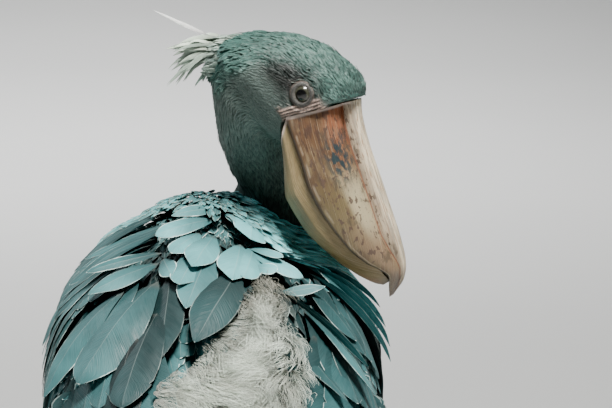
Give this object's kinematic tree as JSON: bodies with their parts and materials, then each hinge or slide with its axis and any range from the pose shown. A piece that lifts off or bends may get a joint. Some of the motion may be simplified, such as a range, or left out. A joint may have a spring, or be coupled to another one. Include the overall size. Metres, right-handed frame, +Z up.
{
  "type": "shoebill",
  "caption": "Life-size standing shoebill, head turned back over its right shoulder, with a deep hooked bill, a shaggy nape crest, drooped half-parted wings and long-toed feet",
  "frame": {"origin": "the middle of the bird's bounding box, on the floor under it", "axes": "+Z is up; the bird's body faces -Y, its right side is at -X and its tail at +Y"},
  "size_m": [0.4096, 0.6212, 1.0397],
  "materials": {
    "plumage": "soft matt feathering",
    "flight_feathers": "smooth satin feather vanes",
    "bill_horn": "satin horn, mottled",
    "eye": "wet gloss",
    "leg_skin": "scaled, matt",
    "claw_horn": "satin horn"
  },
  "bodies": {
    "root": {"head": "plumage", "neck": "plumage", "trunk": "plumage", "crest": "plumage", "breast_plumes": "plumage", "scapulars_left": "plumage", "scapulars_right": "plumage", "wing_left_coverts": "plumage", "wing_right_coverts": "plumage", "wing_left_secondaries": "flight_feathers", "wing_right_secondaries": "flight_feathers", "wing_left_primaries": "flight_feathers", "wing_right_primaries": "flight_feathers", "tail": "flight_feathers", "thigh_left": "plumage", "thigh_right": "plumage", "bill_upper": "bill_horn", "bill_lower": "bill_horn", "eye_left": "eye", "eye_right": "eye", "shank_left": "leg_skin", "shank_right": "leg_skin", "foot_left": "leg_skin", "foot_right": "leg_skin", "toe_left_inner": "leg_skin", "toe_left_middle": "leg_skin", "toe_left_outer": "leg_skin", "toe_left_hallux": "leg_skin", "toe_right_inner": "leg_skin", "toe_right_middle": "leg_skin", "toe_right_outer": "leg_skin", "toe_right_hallux": "leg_skin", "claw_left_inner": "claw_horn", "claw_left_middle": "claw_horn", "claw_left_outer": "claw_horn", "claw_left_hallux": "claw_horn", "claw_right_inner": "claw_horn", "claw_right_middle": "claw_horn", "claw_right_outer": "claw_horn", "claw_right_hallux": "claw_horn"}
  },
  "joints": []
}
